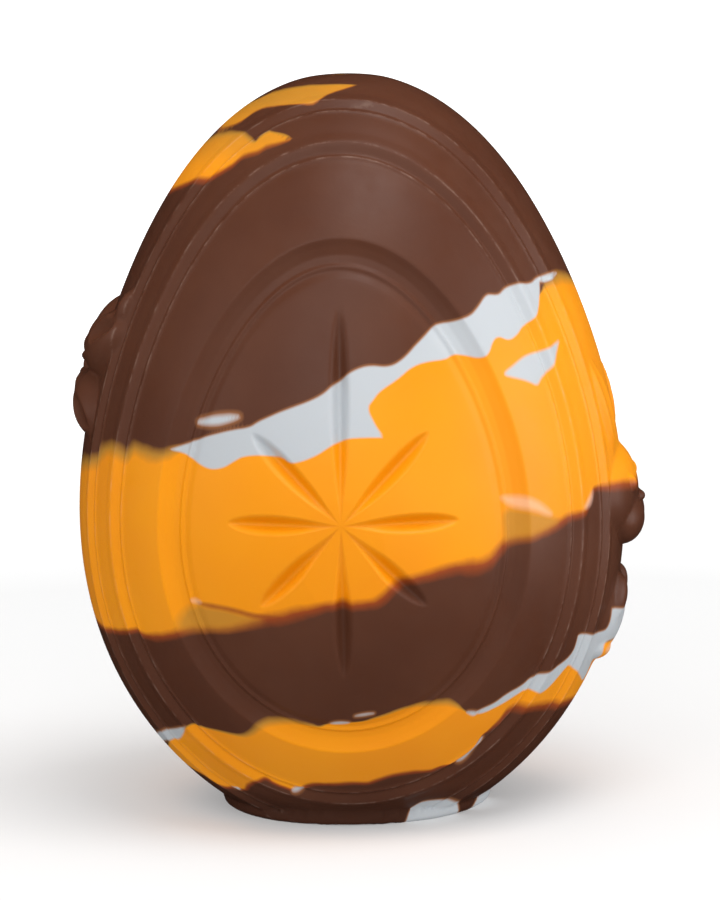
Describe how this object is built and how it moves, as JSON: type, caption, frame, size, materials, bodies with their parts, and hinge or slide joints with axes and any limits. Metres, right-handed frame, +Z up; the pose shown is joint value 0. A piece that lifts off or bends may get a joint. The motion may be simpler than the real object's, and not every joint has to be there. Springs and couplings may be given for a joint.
{
  "type": "chocolate egg",
  "caption": "Moulded chocolate egg standing on a small flat foot, with stepped oval panels, an engraved star, and a bow and a rabbit in relief on its sides.",
  "frame": {"origin": "middle of the foot's flat underside", "axes": "+Z up through the egg's tip, front panel faces -Y, rabbit relief on +X, bow relief on -X"},
  "size_m": [0.116, 0.1094, 0.1497],
  "materials": {
    "chocolate": "satin marbled chocolate, brown with orange and white bands"
  },
  "bodies": {
    "root": {"egg": "chocolate"}
  },
  "joints": []
}
